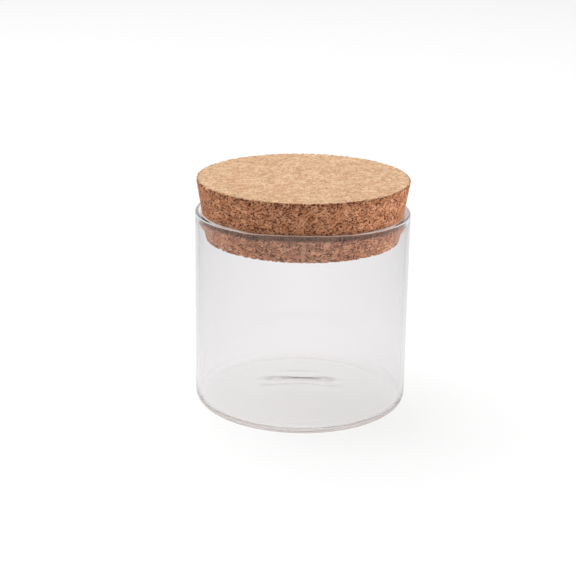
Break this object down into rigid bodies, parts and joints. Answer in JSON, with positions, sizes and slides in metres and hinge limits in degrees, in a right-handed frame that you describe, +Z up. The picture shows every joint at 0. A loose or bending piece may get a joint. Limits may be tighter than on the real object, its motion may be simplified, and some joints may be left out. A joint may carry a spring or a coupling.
{
  "type": "glass storage jar with cork stopper",
  "caption": "Round clear glass storage jar with a straight wall, a melted rim, a gently pushed-up base and a tapered cork stopper that lifts out of the mouth.",
  "frame": {"origin": "centre of the flat ring that the jar stands on, at table level", "axes": "+Z up along the axis of the jar and its stopper, and the way the stopper lifts; +X to the right and +Y away from someone facing it"},
  "size_m": [0.08, 0.08, 0.0865],
  "materials": {
    "glass": "gloss",
    "cork": "matte"
  },
  "bodies": {
    "jar": {"glass_jar": "glass"},
    "lid": {"cork_lid": "cork"}
  },
  "joints": [
    {"name": "lid_lift", "type": "slide", "parent": "jar", "child": "lid", "axis": [0, 0, 1], "range_m": [0, 0.05]}
  ]
}
